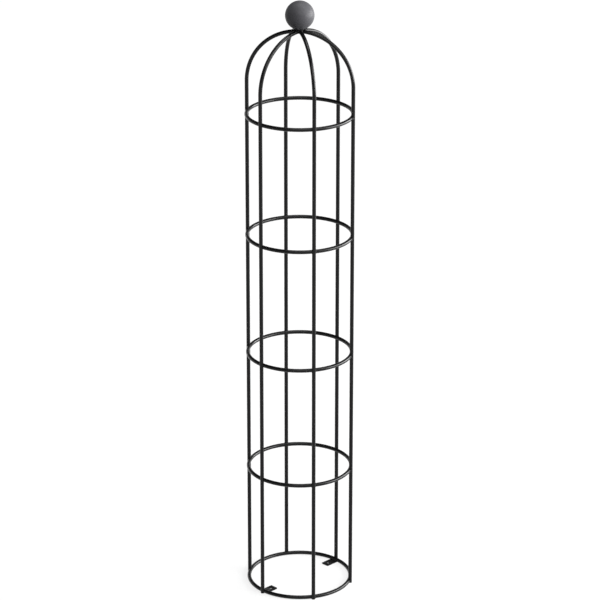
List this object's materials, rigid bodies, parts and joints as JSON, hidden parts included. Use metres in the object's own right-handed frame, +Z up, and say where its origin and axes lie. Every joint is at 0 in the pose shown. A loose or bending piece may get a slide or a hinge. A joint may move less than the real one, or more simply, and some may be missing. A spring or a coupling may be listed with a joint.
{
  "type": "garden obelisk",
  "caption": "Tall round garden obelisk: bent uprights joined by rings, a domed top with a ball finial and drilled anchor tabs at the foot.",
  "frame": {"origin": "on the vertical axis at ground level, under the middle of the base ring", "axes": "+Z up along the axis; +X runs through upright_1 and anchor_tab_right; +Y completes the right-handed frame"},
  "size_m": [0.402, 0.391, 2.2208],
  "materials": {
    "cage_powder_coat": "satin black powder coat on steel bar",
    "ball_powder_coat": "satin anthracite powder coat on pressed steel",
    "zinc_plated_steel": "zinc plated",
    "bare_steel": "turned"
  },
  "bodies": {
    "root": {"upright_1": "cage_powder_coat", "upright_2": "cage_powder_coat", "upright_3": "cage_powder_coat", "upright_4": "cage_powder_coat", "upright_5": "cage_powder_coat", "upright_6": "cage_powder_coat", "base_ring": "cage_powder_coat", "lower_ring": "cage_powder_coat", "middle_ring": "cage_powder_coat", "upper_ring": "cage_powder_coat", "shoulder_ring": "cage_powder_coat", "anchor_tab_left": "cage_powder_coat", "anchor_tab_right": "cage_powder_coat", "crown_hub": "cage_powder_coat", "base_ring_welds": "cage_powder_coat", "lower_ring_welds": "cage_powder_coat", "middle_ring_welds": "cage_powder_coat", "upper_ring_welds": "cage_powder_coat", "shoulder_ring_welds": "cage_powder_coat", "anchor_tab_welds": "cage_powder_coat", "crown_weld": "cage_powder_coat", "ball_upper_shell": "ball_powder_coat", "ball_lower_shell": "ball_powder_coat", "finial_stud": "zinc_plated_steel", "ball_bush": "bare_steel"}
  },
  "joints": []
}
